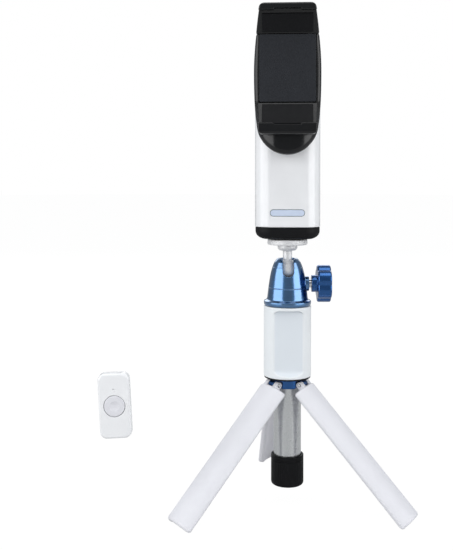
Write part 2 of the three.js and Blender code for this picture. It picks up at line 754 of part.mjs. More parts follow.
function backPad() {
  const halfHeight = (UPPER_ROOT - LOWER_ROOT) / 2 - GAP;
  const middle = (UPPER_ROOT + LOWER_ROOT) / 2;
  const outline = roundedRectangle(PAD_HALF_WIDTH, halfHeight, 1.2, 3).map(([x, z]) => [x, z + middle]);
  return slab(outline, CARRIER_FRONT - 0.1, CARRIER_FRONT + 1.6 - GAP, 0.4, 2);
}

function jawSpring(side) {
  const [coilR, wireR] = [1.95, 0.3];
  const [bottom, top] = [SPRING_FOOT + wireR + GAP, SPRING_TOP - wireR - GAP];
  class Coil extends THREE.Curve {
    getPoint(t) {
      const angle = t * SPRING_TURNS * 2 * Math.PI;
      return new THREE.Vector3(coilR * Math.cos(angle), coilR * Math.sin(angle), bottom + (top - bottom) * t);
    }
  }
  const wire = outlineShape(arc(0, 0, wireR, 0, 270, 3));
  const geometry = new THREE.ExtrudeGeometry(wire, { steps: SPRING_TURNS * 8, extrudePath: new Coil() });
  return solid(geometry).translate([side * RAIL_X, TRACK_Y, 0]);
}

function phoneClamp() {
  const made = group(0, 0, BODY_Z + BODY_AXIS_Z);
  made.rotation.z = BODY_HEADING * DEG;
  made.add(
    piece("clamp_carrier", clampCarrier(), blackGloss),
    piece("upper_jaw", upperJaw(), blackGloss),
    piece("lower_jaw", lowerJaw(), blackGloss),
    piece("back_pad", backPad(), greyRubber),
    piece("upper_jaw_pad", jawPad(UPPER_ROOT, UPPER_TOP), blackPlastic),
    piece("lower_jaw_pad", jawPad(-LOWER_ROOT, -LOWER_BOTTOM).mirror([0, 0, 1]), blackPlastic),
    piece("guide_rod_left", guideRod(-1), steel),
    piece("guide_rod_right", guideRod(1), steel),
    piece("spring_left", jawSpring(-1), steel),
    piece("spring_right", jawSpring(1), steel),
  );
  return made;
}

// ---- Remote control ----
function remoteControl() {
  const { halfWidth, halfHeight, halfDepth, cornerR } = REMOTE;
  const wall = REMOTE_WALL;
  const seam = REMOTE_SEAM_Y;
  const r = REMOTE_BUTTON_R;
  const outline = roundedRectangle(halfWidth, halfHeight, cornerR, 4);
  const inner = roundedRectangle(halfWidth - wall, halfHeight - wall, cornerR - wall, 4);
  const whole = slab(outline, -halfDepth, halfDepth, 1.1, 2);
  const frontHollow = slab(inner, -halfDepth + wall, seam + 1);
  const backHollow = slab(inner, seam - 1, halfDepth - wall);
  const frontHalf = common(whole, block(-30, 30, -30, seam - GAP / 2, -30, 30));
  const backHalf = common(whole, block(-30, 30, seam + GAP / 2, 30, -30, 30));
  const buttonHole = alongY(rod(r + 0.4, -10, 0, 24));
  const button = alongY(
    turned([[0, -3.9], [2.6, -3.9], [3, -4.2], [r - 0.4, -4.2], [r, -3.8], [r, -2.2], [0, -2.2]], 24),
  );
  const made = group(REMOTE_CENTRE.x, REMOTE_CENTRE.y, REMOTE_CENTRE.z);
  made.rotation.y = REMOTE_TILT * DEG;
  made.add(
    piece("remote_front", cut(frontHalf, frontHollow, buttonHole), whiteEnamel),
    piece("remote_back", cut(backHalf, backHollow), whiteEnamel),
    piece("remote_button", button, whitePlastic),
    piece("remote_board", block(-7.6, 7.6, -0.9, 0, -17.6, 17.6), boardGreen),
    piece("coin_cell", alongY(rod(5, 0.3, 2.3, 24)).translate([0, 0, -10]), steel),
  );
  return made;
}

// ---- The whole stick ----
const stick = new THREE.Group();
stick.add(
  piece("outer_tube", outerTube(), tubeMetal),
  piece("end_cap", endCap(), blackPlastic),
  piece("leg_hub", legHub(), blueAnodised),
  piece("collar_ring", collarRing(), blackPlastic),
  piece("collar", collar(), whiteEnamel),
  tripod(),
  pole(),
  ballHead(),
  stabiliser(),
  phoneClamp(),
  remoteControl(),
);

export default stick;
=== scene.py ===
import json
import math

import bpy
import numpy as np
from mathutils import Matrix, Vector

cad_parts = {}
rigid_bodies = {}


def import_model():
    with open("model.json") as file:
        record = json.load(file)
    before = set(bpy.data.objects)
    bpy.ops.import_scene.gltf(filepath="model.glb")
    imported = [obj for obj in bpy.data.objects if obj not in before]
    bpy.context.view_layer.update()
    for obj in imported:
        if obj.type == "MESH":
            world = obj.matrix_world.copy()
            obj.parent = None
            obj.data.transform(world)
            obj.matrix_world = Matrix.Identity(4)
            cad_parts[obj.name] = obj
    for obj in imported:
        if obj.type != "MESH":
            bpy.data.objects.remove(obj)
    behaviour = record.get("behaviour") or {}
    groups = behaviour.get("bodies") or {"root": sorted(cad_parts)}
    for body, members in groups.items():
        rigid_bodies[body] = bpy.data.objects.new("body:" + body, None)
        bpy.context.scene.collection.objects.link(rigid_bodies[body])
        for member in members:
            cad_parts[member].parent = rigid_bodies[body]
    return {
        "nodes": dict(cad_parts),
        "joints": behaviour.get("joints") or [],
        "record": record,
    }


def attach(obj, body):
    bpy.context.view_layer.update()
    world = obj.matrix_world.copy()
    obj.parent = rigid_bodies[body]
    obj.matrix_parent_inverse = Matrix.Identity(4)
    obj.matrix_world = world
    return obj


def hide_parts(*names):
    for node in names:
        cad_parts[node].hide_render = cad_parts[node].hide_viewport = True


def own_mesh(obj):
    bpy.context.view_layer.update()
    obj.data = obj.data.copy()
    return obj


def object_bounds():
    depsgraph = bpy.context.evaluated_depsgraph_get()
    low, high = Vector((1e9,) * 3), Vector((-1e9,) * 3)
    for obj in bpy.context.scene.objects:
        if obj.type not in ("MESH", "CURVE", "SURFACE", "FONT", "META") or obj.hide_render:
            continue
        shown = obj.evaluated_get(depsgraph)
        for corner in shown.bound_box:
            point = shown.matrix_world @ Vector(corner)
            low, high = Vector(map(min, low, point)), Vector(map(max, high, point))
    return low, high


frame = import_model()
cad_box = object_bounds()

# Shapes are worked out in millimetres and scaled to metres when a piece is made.
MM = 0.001
SEGMENTS = 96
GAP = 0.3  # room that the CAD pieces leave to each other

scene = bpy.context.scene
record = frame["record"]
joints = {joint["name"]: joint for joint in frame["joints"]}
body_of = {node: body for body, nodes in record["behaviour"]["bodies"].items() for node in nodes}
slot_of = {part["node"]: part["material_slot"] for part in record["subparts"]}

# The body and clamp are turned a little about the stick's axis, as the clamp's roll axis shows.
roll_axis = joints["clamp_roll"]["axis"]
HEADING = Matrix.Rotation(math.atan2(roll_axis[0], -roll_axis[1]), 4, "Z")
TURNED_BODIES = ("stabiliser", "power_key", "clamp", "sliding_jaw")


def corners(node):
    """Lowest and highest corner of a CAD node in millimetres, in the frame that its piece is drawn in."""
    turn = HEADING.inverted() if body_of[node] in TURNED_BODIES else Matrix.Identity(4)
    points = [turn @ vertex.co / MM for vertex in frame["nodes"][node].data.vertices]
    return [Vector(pick(point[axis] for point in points) for axis in range(3)) for pick in (min, max)]


# ---- Materials ----
def new_material(name, colour, metallic=0.0, **constants):
    """A material whose constant values sit on the shader's own sockets."""
    material = bpy.data.materials.new(name)
    material.use_nodes = True
    shader = material.node_tree.nodes["Principled BSDF"]
    shader.inputs["Base Color"].default_value = (*colour, 1)
    shader.inputs["Metallic"].default_value = metallic
    for socket, value in constants.items():
        shader.inputs[socket.replace("_", " ")].default_value = value
    return material


def add(material, kind, links=None, **settings):
    """A node of a material or world, with its settings, and its inputs linked or set by name or number."""
    tree = material.node_tree
    made = tree.nodes.new(kind)
    for name, value in settings.items():
        setattr(made, name, value)
    for key, value in (links or {}).items():
        if isinstance(value, bpy.types.NodeSocket):
            tree.links.new(value, made.inputs[key])
        else:
            made.inputs[key].default_value = value
    return made


def link(material, socket, name):
    """Feeds a socket to the shader's input of that name."""
    shader = material.node_tree.nodes["Principled BSDF"]
    material.node_tree.links.new(socket, shader.inputs[name])


def noise(material, where, scale, detail=2.0):
    """Noise with so many cells to the metre."""
    found = add(material, "ShaderNodeTexNoise", {"Vector": where, "Scale": scale, "Detail": detail})
    return found.outputs["Fac"]


def remap(material, value, low, high, start=0.3, end=0.7):
    """A value that runs from start to end, changed to run from low to high."""
    settings = {"Value": value, "From Min": start, "From Max": end, "To Min": low, "To Max": high}
    return add(material, "ShaderNodeMapRange", settings).outputs["Result"]


def place(material):
    """The object's own coordinates, in metres."""
    return add(material, "ShaderNodeTexCoord").outputs["Object"]


def stretched(material, where, x, y, z):
    """Coordinates scaled along each axis."""
    return add(material, "ShaderNodeMapping", {"Vector": where, "Scale": (x, y, z)}).outputs["Vector"]


def round_the_axis(material, where, around, along):
    """Coordinates of a turned part: turns of the angle round Z, and the height."""
    split = add(material, "ShaderNodeSeparateXYZ", {0: where})
    sides = {0: split.outputs["Y"], 1: split.outputs["X"]}
    angle = add(material, "ShaderNodeMath", sides, operation="ARCTAN2")
    across = add(material, "ShaderNodeMath", {0: angle.outputs[0], 1: around}, operation="MULTIPLY")
    height = add(material, "ShaderNodeMath", {0: split.outputs["Z"], 1: along}, operation="MULTIPLY")
    return add(material, "ShaderNodeCombineXYZ", {0: across.outputs[0], 1: height.outputs[0]}).outputs[0]


def edge_mask(material, radius):
    """1 on sharp and worn edges, 0 on flats: how far the rounded normal leans from the true one."""
    rounded_normal = add(material, "ShaderNodeBevel", {"Radius": radius}, samples=4).outputs["Normal"]
    true_normal = add(material, "ShaderNodeNewGeometry").outputs["Normal"]
    settings = {0: rounded_normal, 1: true_normal}
    lean = add(material, "ShaderNodeVectorMath", settings, operation="DOT_PRODUCT").outputs["Value"]
    return remap(material, lean, 1.0, 0.0, 0.75, 0.97)


def blend_colours(material, amount, first, second):
    """Mix of two colours or colour sockets."""
    made = add(material, "ShaderNodeMix", {0: amount}, data_type="RGBA")
    for index, value in ((6, first), (7, second)):
        if isinstance(value, bpy.types.NodeSocket):
            material.node_tree.links.new(value, made.inputs[index])
        else:
            made.inputs[index].default_value = (*value, 1)
    return made.outputs[2]


def tint(material, colour, amount, where, scale, worn=None, radius=0.0003, wear=0.5):
    """Base colour with soft mottling, and a paler or darker colour along the edges."""
    mottle = remap(material, noise(material, where, scale), 0, 1)
    base = blend_colours(material, mottle, tuple(c * (1 - amount) for c in colour), colour)
    if worn is not None:
        scuffed = remap(material, noise(material, where, 900, 4), 0, wear, 0.35, 0.75)
        edges = edge_mask(material, radius)
        share = add(material, "ShaderNodeMath", {0: edges, 1: scuffed}, operation="MULTIPLY").outputs[0]
        base = blend_colours(material, share, base, worn)
    link(material, base, "Base Color")


def bump(material, height, depth, before=None):
    """Relief of so many metres, on top of an earlier one if it is given."""
    settings = {"Height": height, "Distance": depth, "Strength": 1.0}
    if before is not None:
        settings["Normal"] = before
    return add(material, "ShaderNodeBump", settings).outputs["Normal"]


def plastic(name, colour, roughness, grain, depth, worn, **constants):
    """Moulded plastic: slow ripple of the mould, fine grain, and worn edges."""
    material = new_material(name, colour, **constants)
    where = place(material)
    tint(material, colour, 0.035, where, 60, worn)
    low, high = roughness
    link(material, remap(material, noise(material, where, 350, 5), low, high), "Roughness")
    ripple = bump(material, noise(material, where, 90, 1), 0.00006)
    link(material, bump(material, noise(material, where, grain, 3), depth, ripple), "Normal")
    return material


def collar_enamel(name, colour, dock_colour):
    """White enamel on the collar. Inside the grip's radius, in the dock, it is a darker, cooler white:
    painted shade of the recess.
    """
    material = plastic(name, colour, (0.3, 0.36), 2600, 0.000008, None)
    split = add(material, "ShaderNodeSeparateXYZ", {0: place(material)})
    square = {0: split.outputs["X"], 1: split.outputs["Y"]}
    flat = add(material, "ShaderNodeCombineXYZ", square).outputs[0]
    radius = add(material, "ShaderNodeVectorMath", {0: flat}, operation="LENGTH").outputs["Value"]
    dock_r, grip_r = 0.0151, 0.0158
    inside = remap(material, radius, 1, 0, dock_r, grip_r)
    mottle = remap(material, noise(material, place(material), 60), 0, 1)
    enamel = blend_colours(material, mottle, tuple(0.97 * c for c in colour), colour)
    # painted shade: the dock is coloured a darker, bluer white than the rest of the collar
    link(material, blend_colours(material, inside, enamel, dock_colour), "Base Color")
    return material


def turned_metal(
    name, colour, roughness, worn, rings, depth, along_tube=False, metallic=1.0, **constants
):
    """Metal with the fine lines of the lathe, or with brush lines along a tube."""
    material = new_material(name, colour, metallic, **constants)
    where = place(material)
    tint(material, colour, 0.08, where, 120, worn, 0.00025, 0.7)
    lines_at = (rings, 1.2) if along_tube else (0.6, rings)
    lines = noise(material, round_the_axis(material, where, *lines_at), 1.0, 4)
    if along_tube:
        streaks = remap(material, lines, 0, 1, 0.35, 0.65)
        dark = tuple(0.72 * c for c in colour)
        link(material, blend_colours(material, streaks, dark, colour), "Base Color")
    low, high = roughness
    smears = noise(material, where, 160, 4)
    both = add(material, "ShaderNodeMath", {0: lines, 1: smears}, operation="ADD").outputs[0]
    link(material, remap(material, both, low, high, 0.7, 1.3), "Roughness")
    link(material, bump(material, lines, depth), "Normal")
    return material


def rubber(name, colour):
    """Matt rubber with a fine leathery grain."""
    sheen = {"Sheen_Weight": 0.08, "Sheen_Roughness": 0.5}
    material = new_material(name, colour, Specular_IOR_Level=0.25, **sheen)
    where = place(material)
    tint(material, colour, 0.12, where, 110, tuple(1.6 * c for c in colour))
    link(material, remap(material, noise(material, where, 500, 4), 0.62, 0.8), "Roughness")
    cells = add(material, "ShaderNodeTexVoronoi", {"Vector": where, "Scale": 2200}).outputs["Distance"]
    link(material, bump(material, cells, 0.00006), "Normal")
    return material


def indicator_window(name, colour):
    """Frosted plastic in front of a pale light."""
    material = new_material(name, colour, Transmission_Weight=0.25, IOR=1.49, Coat_Weight=0.4)
    where = place(material)
    tint(material, colour, 0.06, where, 300)
    link(material, remap(material, noise(material, where, 700, 3), 0.28, 0.42), "Roughness")
    link(material, bump(material, noise(material, where, 2500, 2), 0.00001), "Normal")
    shader = material.node_tree.nodes["Principled BSDF"]
    shader.inputs["Emission Color"].default_value = (0.45, 0.62, 1.0, 1)
    shader.inputs["Emission Strength"].default_value = 0.12
    return material


def circuit(name, colour):
    """Solder mask over copper tracks on a square grid."""
    material = new_material(name, colour, Coat_Weight=0.3)
    where = place(material)
    tracks = add(
        material,
        "ShaderNodeTexBrick",
        {"Vector": stretched(material, where, 300, 300, 300), "Scale": 1.0, "Mortar Size": 0.06},
    ).outputs["Fac"]
    link(material, blend_colours(material, tracks, colour, tuple(1.8 * c for c in colour)), "Base Color")
    link(material, remap(material, noise(material, where, 400, 3), 0.3, 0.5), "Roughness")
    link(material, bump(material, tracks, 0.00003), "Normal")
    return material


def cell_wrap(name, colour):
    """Shrink sleeve of a cell: smooth, with slight wrinkles round it."""
    material = new_material(name, colour, Coat_Weight=0.5)
    where = place(material)
    tint(material, colour, 0.1, where, 80)
    link(material, remap(material, noise(material, where, 200, 3), 0.25, 0.4), "Roughness")
    wrinkles = noise(material, stretched(material, where, 60, 60, 500), 1.0, 4)
    link(material, bump(material, wrinkles, 0.00012), "Normal")
    return material


FINISHES = {
    "white_gloss": (plastic, {
        "colour": (0.89, 0.895, 0.91), "roughness": (0.14, 0.22), "grain": 1500, "depth": 0.000003,
        "worn": (0.7, 0.71, 0.73), "Coat_Weight": 0.4,
    }),
    # the collar's dock colour is painted shade of its recess
    "white_collar": (collar_enamel, {"colour": (0.82, 0.85, 0.87), "dock_colour": (0.73, 0.775, 0.82)}),
    "white_leg": (plastic, {
        "colour": (0.76, 0.76, 0.80), "roughness": (0.38, 0.5), "grain": 2600, "depth": 0.00002,
        "worn": (0.66, 0.66, 0.7),
    }),
    "blue_anodised": (turned_metal, {
        "colour": (0.034, 0.165, 0.385), "roughness": (0.2, 0.28), "worn": (0.3, 0.38, 0.52),
        "rings": 5200, "depth": 0.000004, "Coat_Weight": 1.0, "Coat_IOR": 1.95, "Coat_Roughness": 0.12,
    }),
    # a darker copy of the housing's blue anodising: painted shade on the knob and the hub
    "deep_blue": (turned_metal, {
        "colour": (0.018, 0.105, 0.33), "roughness": (0.24, 0.32), "worn": (0.25, 0.34, 0.5),
        "rings": 5200, "depth": 0.000004, "Coat_Weight": 0.6, "Coat_IOR": 1.5, "Coat_Roughness": 0.15,
    }),
    "black_gloss": (plastic, {
        "colour": (0.005, 0.0052, 0.0058), "roughness": (0.16, 0.26), "grain": 1600, "depth": 0.000004,
        "worn": (0.03, 0.03, 0.032), "Specular_IOR_Level": 0.4,
    }),
    "black_satin": (plastic, {
        "colour": (0.009, 0.0092, 0.0102), "roughness": (0.34, 0.46), "grain": 3000, "depth": 0.00003,
        "worn": (0.03, 0.03, 0.03), "Specular_IOR_Level": 0.1,
    }),
    "grey_rubber": (rubber, {"colour": (0.017, 0.019, 0.024)}),
    "tube_metal": (turned_metal, {
        "colour": (0.78, 0.795, 0.8), "roughness": (0.2, 0.32), "worn": (0.7, 0.7, 0.71),
        "rings": 60, "depth": 0.00002, "along_tube": True,
    }),
    "bright_steel": (turned_metal, {
        "colour": (0.72, 0.72, 0.73), "roughness": (0.06, 0.13), "worn": (0.8, 0.8, 0.8),
        "rings": 4000, "depth": 0.000002,
    }),
    "silver_disc": (turned_metal, {
        "colour": (0.8, 0.8, 0.81), "roughness": (0.42, 0.52), "worn": (0.88, 0.88, 0.88),
        "rings": 5200, "depth": 0.000005, "metallic": 0.4,
    }),
    "window": (indicator_window, {"colour": (0.7, 0.76, 0.85)}),
    "board_green": (circuit, {"colour": (0.03, 0.15, 0.06)}),
    "cell_wrap": (cell_wrap, {"colour": (0.045, 0.14, 0.38)}),
}
MATERIALS = {name: make(name, **settings) for name, (make, settings) in FINISHES.items()}

# The knob and the hub share the housing's slot; their copy of its blue is darker: painted shade.
OWN_MATERIAL = {"clamp_knob": "deep_blue", "leg_hub": "deep_blue"}


# ---- Meshes ----
def new_object(name, vertices, faces):
    """An object of a list of points and a list of faces."""
    mesh = bpy.data.meshes.new(name)
    mesh.from_pydata([tuple(v) for v in vertices], [], faces)
    mesh.validate()
    made = bpy.data.objects.new(name, mesh)
    scene.collection.objects.link(made)
    return made


def apply_modifiers(obj):
    bpy.context.view_layer.update()
    shown = obj.evaluated_get(bpy.context.evaluated_depsgraph_get())
    mesh = bpy.data.meshes.new_from_object(shown)
    obj.modifiers.clear()
    obj.data = mesh


def moved(obj, matrix):
    """The object, with its mesh moved by a matrix."""
    obj.data.transform(matrix)
    return obj


def show(piece, node, crease=32):
    """Puts a finished piece, drawn in millimetres, in place of its CAD node."""
    mesh = piece.data
    mesh.transform(Matrix.Scale(MM, 4))
    if body_of[node] in TURNED_BODIES:
        mesh.transform(HEADING)
    if not mesh.has_custom_normals:
        mesh.shade_smooth()
        mesh.set_sharp_from_angle(angle=math.radians(crease))
        flats = piece.modifiers.new("flats", "WEIGHTED_NORMAL")
        flats.keep_sharp = True
        apply_modifiers(piece)
    piece.name = node + "_shape"
    piece.data.materials.clear()
    piece.data.materials.append(MATERIALS[OWN_MATERIAL.get(node, slot_of[node])])
    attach(piece, body_of[node])
    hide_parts(node)
    return piece


def rounded(points, steps=5, closed=True):
    """Points are (x, y) or (x, y, radius): each radius becomes an arc."""
    line = []
    for i, point in enumerate(points):
        here = Vector(point[:2])
        if len(point) < 3 or (not closed and i in (0, len(points) - 1)):
            line.append(tuple(here))
            continue
        before = (Vector(points[i - 1][:2]) - here).normalized()
        after = (Vector(points[(i + 1) % len(points)][:2]) - here).normalized()
        half = before.angle(after) / 2
        centre = here + (before + after).normalized() * point[2] / math.sin(half)
        first = here + before * point[2] / math.tan(half) - centre
        last = here + after * point[2] / math.tan(half) - centre
        start = math.atan2(first.y, first.x)
        sweep = (math.atan2(last.y, last.x) - start + math.pi) % (2 * math.pi) - math.pi
        for k in range(steps + 1):
            angle = start + sweep * k / steps
            line.append((centre.x + point[2] * math.cos(angle), centre.y + point[2] * math.sin(angle)))
    return line


def rounded_rectangle(half_x, half_y, r, steps=8):
    """Outline of a rectangle about the origin, with corners of radius r."""
    signs = ((1, -1), (1, 1), (-1, 1), (-1, -1))
    return rounded([(sx * half_x, sy * half_y, r) for sx, sy in signs], steps)


def loft(name, loops):
    """Closed loops of equally many points, joined one to the next, with flat ends."""
    count = len(loops[0])
    vertices = [point for loop in loops for point in loop]
    faces = []
    for i in range(len(loops) - 1):
        for k in range(count):
            a, b = i * count + k, i * count + (k + 1) % count
            faces.append((a, b, b + count, a + count))
    faces.append(tuple(range(count - 1, -1, -1)))
    faces.append(tuple(range((len(loops) - 1) * count, len(loops) * count)))
    return new_object(name, vertices, faces)


def turned(name, profile, closed=False, angles=None, shape=None):
    """A body of revolution about Z. shape(r, z, angle) may move a point in or out."""
    angles = angles or [2 * math.pi * k / SEGMENTS for k in range(SEGMENTS)]
    vertices, rings, faces = [], [], []
    for r, z in profile:
        if r < 1e-6:
            rings.append([len(vertices)])
            vertices.append((0, 0, z))
            continue
        rings.append(list(range(len(vertices), len(vertices) + len(angles))))
        for angle in angles:
            reach = shape(r, z, angle) if shape else r
            vertices.append((reach * math.cos(angle), reach * math.sin(angle), z))
    pairs = list(zip(rings, rings[1:] + rings[:1])) if closed else list(zip(rings, rings[1:]))
    for low, high in pairs:
        for k in range(len(angles)):
            n = (k + 1) % len(angles)
            around = [low[k % len(low)], low[n % len(low)], high[n % len(high)], high[k % len(high)]]
            faces.append(tuple(dict.fromkeys(around)))
    return new_object(name, vertices, faces)


def rod(r, bottom, top, edge):
    """A solid round bar along Z with rounded ends."""
    profile = [(0, bottom), (r, bottom, edge), (r, top, edge), (0, top)]
    return turned("rod", rounded(profile, 4, False))


def show_turned(node, profile, put, steps=3):
    """Shows a turned piece whose outline runs from the axis back to the axis."""
    show(moved(turned(node, rounded(profile, steps, False)), put), node)


def sleeve(name, outer, inner, bottom, top, edge=0.15):
    """A tube along Z with rounded edges."""
    ring = [(inner, bottom, edge), (outer, bottom, edge), (outer, top, edge), (inner, top, edge)]
    return turned(name, rounded(ring, 3), True)


def slab(name, front, back, edge, outline, steps=4):
    """A plate from front to back along Y with rounded edges. outline(d) is its X, Z outline drawn in by d."""
    turns = [math.pi / 2 * k / steps for k in range(steps + 1)]
    rises = [(edge * (1 - math.sin(t)), edge * (1 - math.cos(t))) for t in turns]
    levels = [(front + depth, d) for depth, d in reversed(rises)] + [(back - depth, d) for depth, d in rises]
    return loft(name, [[(x, y, z) for x, z in outline(d)] for y, d in levels])


# Turn a piece that is drawn along Z to lie along X or along Y.
ALONG_X = Matrix.Rotation(math.pi / 2, 4, "Y")
ALONG_Y = Matrix.Rotation(-math.pi / 2, 4, "X")


# ---- Solids by distance: negative inside, with rounded joins and edges ----
def join_round(a, b, r):
    """Both solids as one, with a fillet of radius r between them."""
    return np.maximum(r, np.minimum(a, b)) - np.hypot(np.maximum(r - a, 0), np.maximum(r - b, 0))


def meet_round(a, b, r):
    """What two solids share, with its edges rounded to r."""
    return -join_round(-a, -b, r)


def cut_round(a, b, r):
    """The first solid without the second, with the rim rounded to r."""
    return meet_round(a, -b, r)


def box_distance(p, low, high, r=0.0):
    """A box between two corners, with its edges rounded to r."""
    middle = [(a + b) / 2 for a, b in zip(low, high)]
    half = [(b - a) / 2 - r for a, b in zip(low, high)]
    q = [np.abs(p[i] - middle[i]) - half[i] for i in range(3)]
    outside = np.sqrt(sum(np.maximum(d, 0) ** 2 for d in q))
    return outside + np.minimum(np.maximum(np.maximum(q[0], q[1]), q[2]), 0) - r


def between(v, low, high):
    """A layer from low to high."""
    return np.abs(v - (low + high) / 2) - (high - low) / 2


def flat_pill(u, v, half_u, half_v, r):
    """A rectangle about the origin in two dimensions, with corners of radius r."""
    qu, qv = np.abs(u) - half_u + r, np.abs(v) - half_v + r
    return np.hypot(np.maximum(qu, 0), np.maximum(qv, 0)) + np.minimum(np.maximum(qu, qv), 0) - r


def outline_distance(u, v, points):
    """Signed distance to a closed outline in two dimensions."""
    nearest = np.full(np.broadcast(u, v).shape, 1e9)
    inside = np.zeros(nearest.shape, bool)
    for (ax, ay), (bx, by) in zip(points, points[1:] + points[:1]):
        ex, ey = bx - ax, by - ay
        if ex == 0 and ey == 0:
            continue
        t = np.clip(((u - ax) * ex + (v - ay) * ey) / (ex * ex + ey * ey), 0, 1)
        nearest = np.minimum(nearest, (u - ax - t * ex) ** 2 + (v - ay - t * ey) ** 2)
        crosses = (ay > v) != (by > v)
        if ey != 0:
            inside ^= crosses & (u < ax + (v - ay) * ex / ey)
    return np.where(inside, -1, 1) * np.sqrt(nearest)


def solid(name, distance, low, high, pitch):
    """A mesh of the surface where distance(points) is zero: one vertex per cell, drawn onto the surface."""
    low, high = np.array(low, float) - 2.5 * pitch, np.array(high, float) + 2.5 * pitch
    axes = [np.arange(low[i], high[i] + pitch, pitch) for i in range(3)]
    grid = np.broadcast_to(
        distance((axes[0][:, None, None], axes[1][None, :, None], axes[2][None, None, :])),
        [len(a) for a in axes],
    )
    inside = grid < 0
    cells = tuple(n - 1 for n in inside.shape)

    def corner(values, dx, dy, dz):
        return values[dx : dx + cells[0], dy : dy + cells[1], dz : dz + cells[2]]

    steps = [(dx, dy, dz) for dx in (0, 1) for dy in (0, 1) for dz in (0, 1)]
    filled = sum(corner(inside, *s).astype(np.int8) for s in steps)
    active = (filled > 0) & (filled < 8)
    where = np.argwhere(active)
    number = np.full(cells, -1)
    number[active] = np.arange(len(where))
    total, crossings = np.zeros((len(where), 3)), np.zeros(len(where))
    for s in steps:
        for axis in range(3):
            if s[axis]:
                continue
            e = list(s)
            e[axis] = 1
            a = corner(grid, *s)[active]
            b = corner(grid, *e)[active]
            crossed = (a < 0) != (b < 0)
            t = np.where(crossed, a / np.where(crossed, a - b, 1), 0)
            at = np.tile(np.array(s, float), (len(where), 1))
            at[:, axis] += t
            total += at * crossed[:, None]
            crossings += crossed
    points = low + pitch * (where + total / crossings[:, None])
    for _ in range(3):
        points = draw_in(points, distance, pitch)
    faces = []
    for axis in range(3):
        b, c = (axis + 1) % 3, (axis + 2) % 3
        first = np.take(inside, range(0, inside.shape[axis] - 1), axis)
        second = np.take(inside, range(1, inside.shape[axis]), axis)
        for flip in (False, True):
            edges = np.argwhere((first & ~second) if not flip else (second & ~first))
            quad = []
            for db, dc in ((-1, -1), (0, -1), (0, 0), (-1, 0)):
                cell = edges.copy()
                cell[:, b] += db
                cell[:, c] += dc
                quad.append(number[cell[:, 0], cell[:, 1], cell[:, 2]])
            quad = np.stack(quad[::-1] if flip else quad, 1)
            faces.append(quad)
    made = array_object(name, points, np.concatenate(faces))
    normals = slope_at(points, distance, 0.4 * pitch)
    normals /= np.maximum(np.linalg.norm(normals, axis=1), 1e-9)[:, None]
    made.data.shade_smooth()
    made.data.normals_split_custom_set_from_vertices(normals.tolist())
    return made


def slope_at(points, distance, h):
    """How the distance changes along each axis, over a step of h to either side."""
    slope = np.empty_like(points)
    for axis in range(3):
        ahead, behind = points.copy(), points.copy()
        ahead[:, axis] += h
        behind[:, axis] -= h
        slope[:, axis] = (distance(tuple(ahead.T)) - distance(tuple(behind.T))) / (2 * h)
    return slope


def draw_in(points, distance, pitch):
    """One step of the points onto the surface, along the slope of the distance."""
    here = distance(tuple(points.T))
    slope = slope_at(points, distance, 0.02 * pitch)
    steep = np.maximum((slope**2).sum(1), 0.05)
    step = slope * (here / steep)[:, None]
    reach = np.maximum(np.linalg.norm(step, axis=1) / (0.7 * pitch), 1)
    return points - step / reach[:, None]


def array_object(name, points, quads):
    """An object of an array of points and an array of four-sided faces."""
    mesh = bpy.data.meshes.new(name)
    mesh.vertices.add(len(points))
    mesh.vertices.foreach_set("co", points.astype(np.float32).ravel())
    mesh.loops.add(quads.size)
    mesh.loops.foreach_set("vertex_index", quads.astype(np.int32).ravel())
    mesh.polygons.add(len(quads))
    mesh.polygons.foreach_set("loop_start", np.arange(0, quads.size, 4, dtype=np.int32))
    mesh.update(calc_edges=True)
    made = bpy.data.objects.new(name, mesh)
    scene.collection.objects.link(made)
    return made


# ---- Shared dimensions, in millimetres ----
TUBE_ROOM = corners("outer_tube")[1].x + GAP  # bore of what goes round the outer tube
HUB_R = 11.6
PIVOT_R, PIVOT_Z, PIN_ROOM = 11.5, 69.2, 1.2  # place of the legs' pins, and radius of their holes
TONGUE_R = 2.4
SPREAD = math.radians(43.6)  # lean of an open leg
LEG_AZIMUTHS = {
    "rear": math.radians(92.4), "front_left": math.radians(212.4), "front_right": math.radians(332.4)
}
HEAD_Z = 121.8  # underside of the ball head
BALL_Z, KNOB_Z = 23.4, 14.3  # the ball's centre and the knob's axis, above HEAD_Z
BODY_Z = 167.1  # underside of the white body
ROLL_Z = 104.9  # the clamp's roll axis, above BODY_Z
BODY_HALF, BODY_DEEP, BODY_EDGE = 21.8, 17.0, 12.0
WINDOW_Z, KEY_Z, SOCKET_Z, SCREW_X, SCREW_Z = 17.5, 40, 18, 8, 66  # fittings, above BODY_Z
SIDES = (("left", -1), ("right", 1))
ROD_X, ROD_Y = 9, -22.8  # guide rods, from the roll axis


def lift(z):
    """Moves a piece up by z."""
    return Matrix.Translation((0, 0, z))


# ---- Handle ----
def straight_tubes():
    """The outer tube, the telescopic sections, and the bushes and rings that guide them."""
    tube_wall, section_wall = 0.5, 0.4
    lo, hi = corners("outer_tube")
    show(sleeve("outer_tube", hi.x, hi.x - tube_wall, lo.z, hi.z, 0.2), "outer_tube")
    for number in range(1, 5):
        lo, hi = corners(f"section_{number}")
        show(sleeve("section", hi.x, hi.x - section_wall, lo.z, hi.z, 0.12), f"section_{number}")
        for node in (f"section_{number}_bush", f"guide_ring_{number}"):
            low, high = corners(node)
            show(sleeve("guide", high.x, hi.x + GAP, low.z, high.z, 0.2), node)


